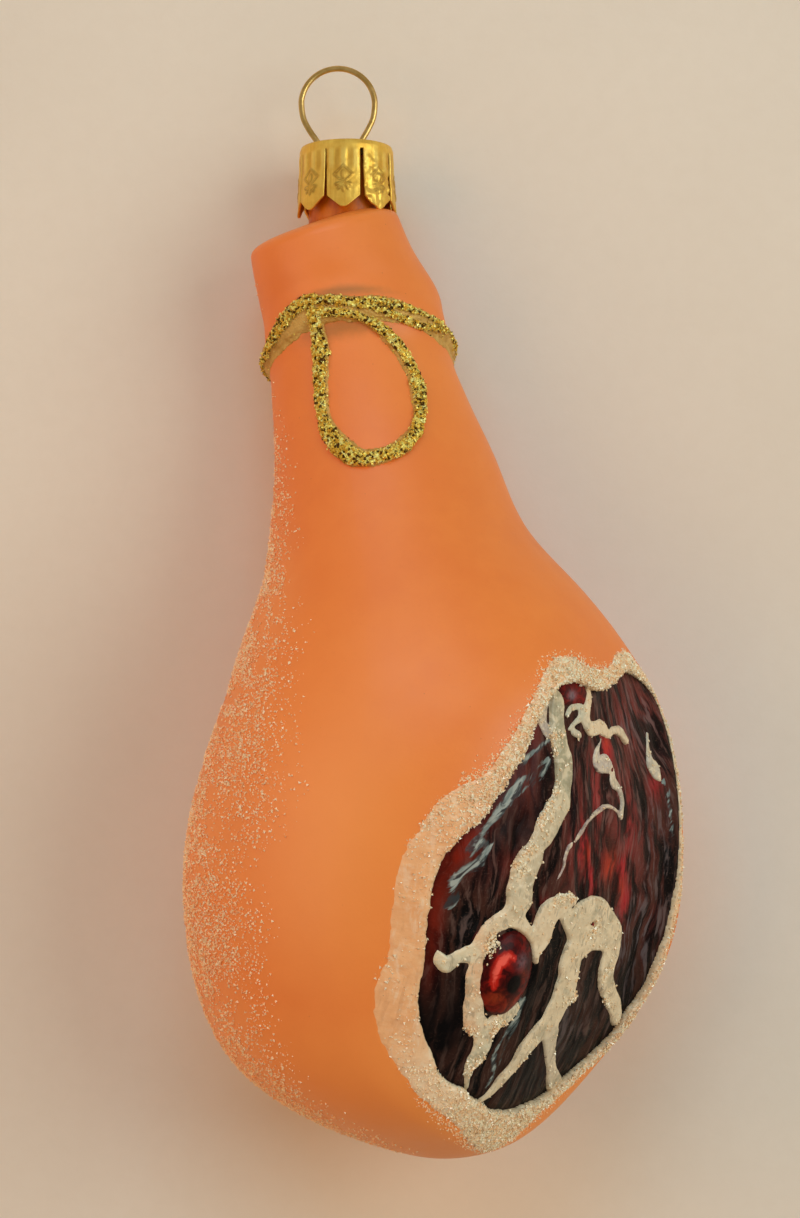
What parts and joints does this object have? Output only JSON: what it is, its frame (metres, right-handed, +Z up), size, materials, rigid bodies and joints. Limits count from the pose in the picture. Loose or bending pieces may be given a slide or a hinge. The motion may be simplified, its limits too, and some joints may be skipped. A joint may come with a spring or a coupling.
{
  "type": "blown glass ham leg ornament",
  "caption": "Hand-painted blown-glass hanging ornament shaped as a cured ham leg, with a marbled cut face, a gold cord in relief, a crown cap and a wire hanger ring.",
  "frame": {"origin": "middle of the bounding box in X and Y, on the surface that the ornament lies on", "axes": "+Y from the round bulb end to the hanger ring, +Z up from the surface to the shown side, +X to the side that the cut face turns to"},
  "size_m": [0.0588, 0.1301, 0.0445],
  "materials": {
    "skin_lacquer": "satin orange lacquer on blown glass",
    "neck_glass": "glossy amber glass of the bare neck",
    "meat_lacquer": "glossy dark red-brown lacquer",
    "fat_paint": "cream paint with fine clear glitter",
    "bone_lacquer": "high gloss red lacquer",
    "cord_gold": "gold paint with coarse gold glitter",
    "white_glitter": "fine pale glitter dust",
    "cap_brass": "bright stamped gold-toned sheet",
    "wire_brass": "drawn gold-toned wire"
  },
  "bodies": {
    "root": {"glass_leg": "skin_lacquer", "crown_cap": "cap_brass", "hanger_wire": "wire_brass"}
  },
  "joints": []
}
